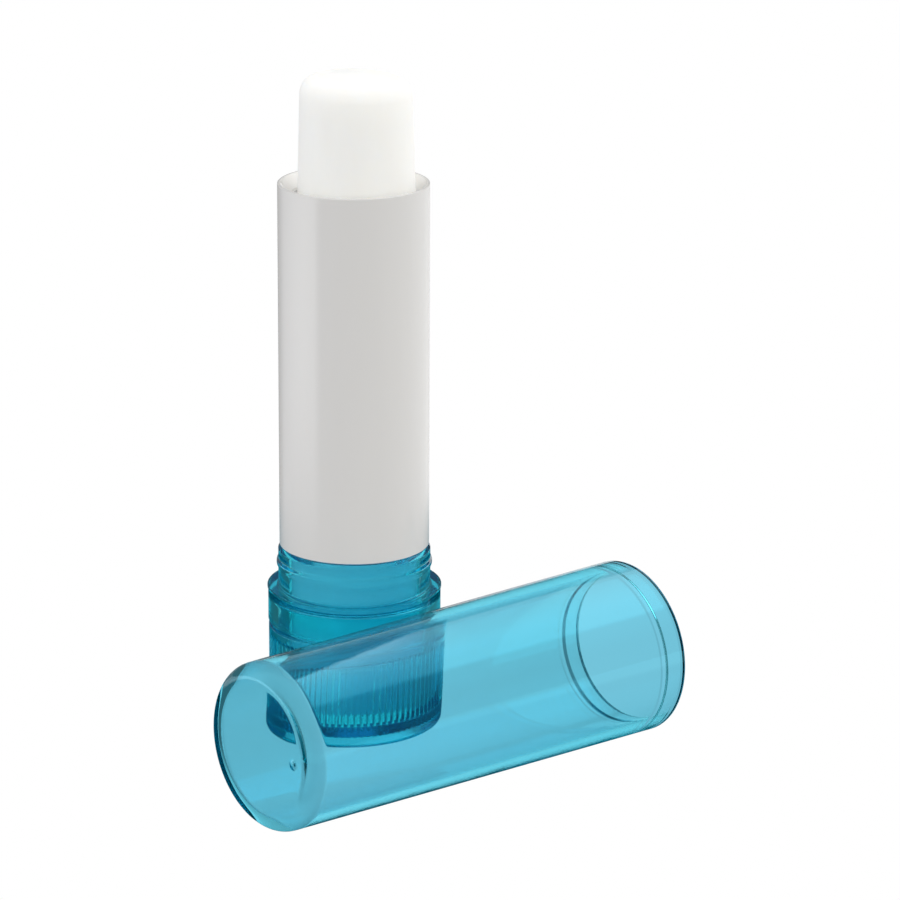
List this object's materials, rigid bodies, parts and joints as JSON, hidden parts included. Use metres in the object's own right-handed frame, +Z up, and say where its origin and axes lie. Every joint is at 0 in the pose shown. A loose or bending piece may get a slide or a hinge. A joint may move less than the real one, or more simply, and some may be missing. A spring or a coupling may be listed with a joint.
{
  "type": "lip balm stick",
  "caption": "Twist-up lip balm stick standing on its fluted dial, balm raised, with its clear cap laid beside it.",
  "frame": {"origin": "centre of the whole group's footprint box, on the surface that the stick and the cap rest on", "axes": "+Z up along the stick, +X along the cap from its closed end to its mouth, +Y from the cap to the stick"},
  "size_m": [0.052, 0.039, 0.0752],
  "materials": {
    "clear_base": "polished, see-through turquoise",
    "clear_cap": "polished, see-through light turquoise",
    "white_plastic": "glossy white",
    "inner_white": "natural white, as moulded",
    "balm": "soft waxy sheen"
  },
  "bodies": {
    "tube": {"barrel": "white_plastic", "collar": "clear_base"},
    "knob": {"dial": "clear_base", "spindle": "inner_white"},
    "lift": {"carrier": "inner_white", "balm": "balm"},
    "cover": {"cap": "clear_cap"}
  },
  "joints": [
    {"name": "dial_spin", "type": "hinge", "parent": "tube", "child": "knob", "pos_m": [0.00211, 0.00978, 0], "axis": [0, 0, 1], "range_deg": [-1290, 930]},
    {"name": "balm_lift", "type": "slide", "parent": "tube", "child": "lift", "axis": [0, 0, 1], "range_m": [-0.013, 0.018]},
    {"name": "cap_slide", "type": "slide", "parent": "tube", "child": "cover", "axis": [1, 0, 0], "range_m": [0, 0.04]}
  ],
  "couplings": [
    {"joint": "balm_lift", "follows": "dial_spin", "m_per_rad": -0.00079577}
  ]
}
